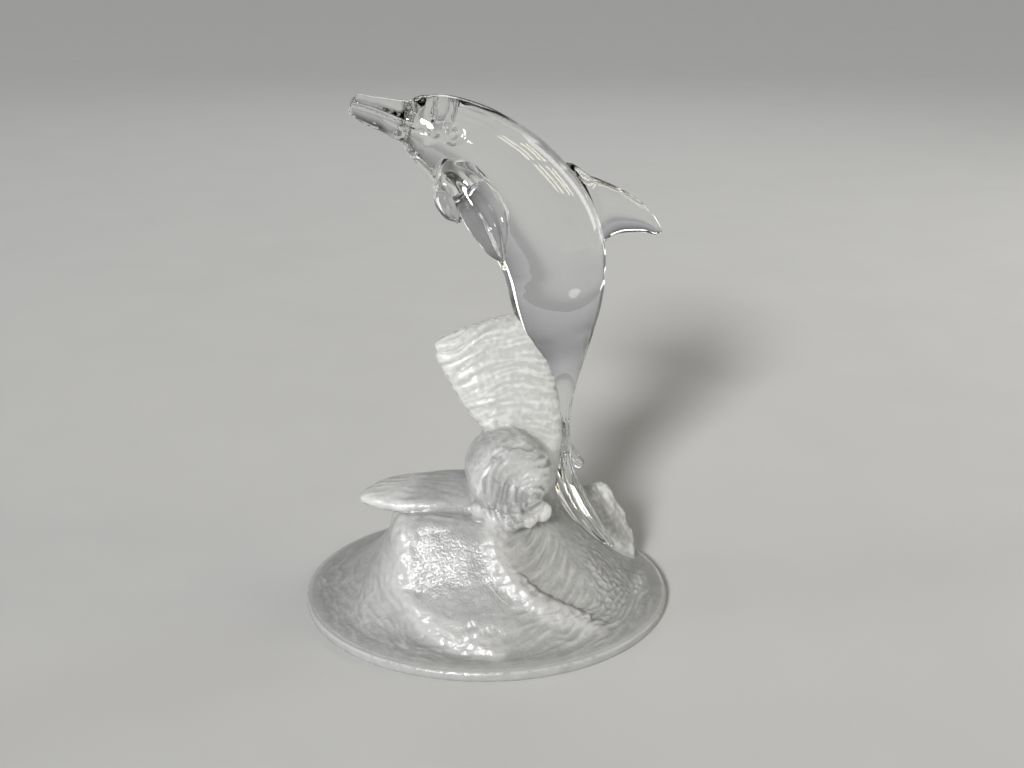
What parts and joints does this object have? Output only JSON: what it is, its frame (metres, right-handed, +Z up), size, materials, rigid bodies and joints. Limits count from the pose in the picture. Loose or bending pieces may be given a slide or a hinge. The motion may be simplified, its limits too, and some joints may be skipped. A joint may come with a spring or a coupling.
{
  "type": "crystal dolphin figurine",
  "caption": "Clear crystal dolphin leaping from a frosted, sculpted wave on a round foot.",
  "frame": {"origin": "centre of the round foot's underside", "axes": "+Z up; the dolphin's nose points to -X, its back and dorsal fin to +X, its left side to -Y"},
  "size_m": [0.112, 0.112, 0.155],
  "materials": {
    "clear_crystal": "clear colourless lead crystal, fire-polished",
    "frosted_crystal": "acid-frosted lead crystal, fine sparkling grain, white where it is ridged"
  },
  "bodies": {
    "root": {"foot_disc": "frosted_crystal", "sea_swell": "frosted_crystal", "front_left_wave_lip": "frosted_crystal", "front_wave_lip": "frosted_crystal", "left_wave_crest": "frosted_crystal", "wave_curl": "frosted_crystal", "curl_foam": "frosted_crystal", "standing_wave": "frosted_crystal", "rear_splash": "frosted_crystal", "dolphin_body": "clear_crystal", "lower_jaw": "clear_crystal", "dorsal_fin": "clear_crystal", "left_pectoral_fin": "clear_crystal", "right_pectoral_fin": "clear_crystal", "left_fluke": "clear_crystal", "right_fluke": "clear_crystal", "left_eye": "clear_crystal", "right_eye": "clear_crystal"}
  },
  "joints": []
}
